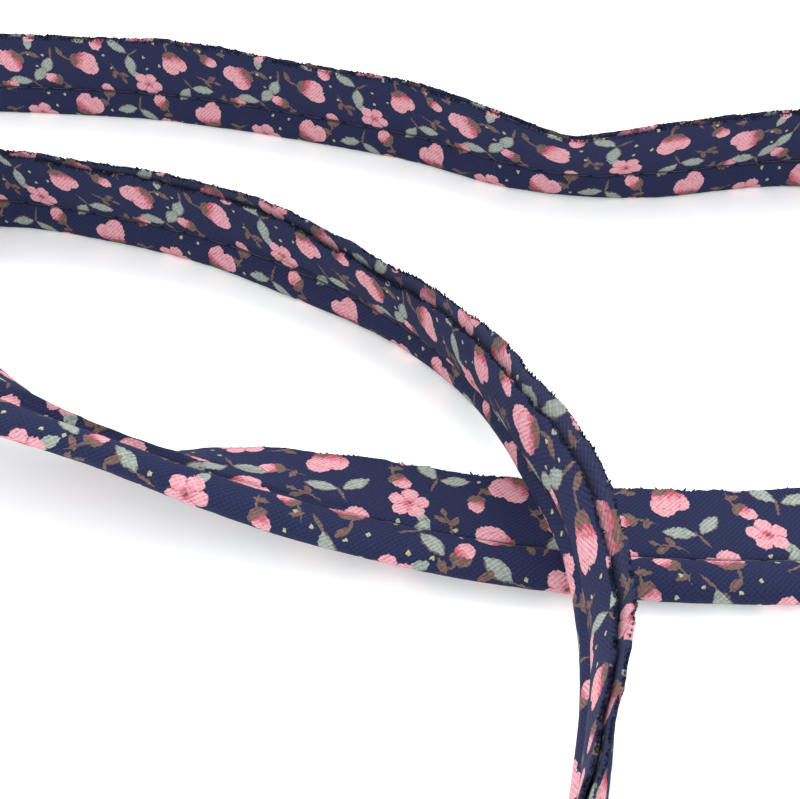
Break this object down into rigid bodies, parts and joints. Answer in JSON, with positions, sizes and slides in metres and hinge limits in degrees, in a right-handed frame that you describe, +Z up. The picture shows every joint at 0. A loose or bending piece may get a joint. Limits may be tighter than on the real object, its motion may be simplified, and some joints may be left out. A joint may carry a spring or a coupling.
{
  "type": "flanged piping cord, a loose cut length",
  "caption": "Loose cut length of flower-printed flanged piping: a covered cord with a two-layer raw-edged flange, lying in two open turns and crossing over itself.",
  "frame": {"origin": "middle of the outline on the table that the piping lies on", "axes": "+Z up from the table, +X along the longer side of the outline, +Y away from the viewer of the picture"},
  "size_m": [0.128, 0.0994, 0.0142],
  "materials": {
    "printed_cotton": "matte printed plain weave, cut on the bias"
  },
  "bodies": {
    "root": {"piping": "printed_cotton"}
  },
  "joints": []
}
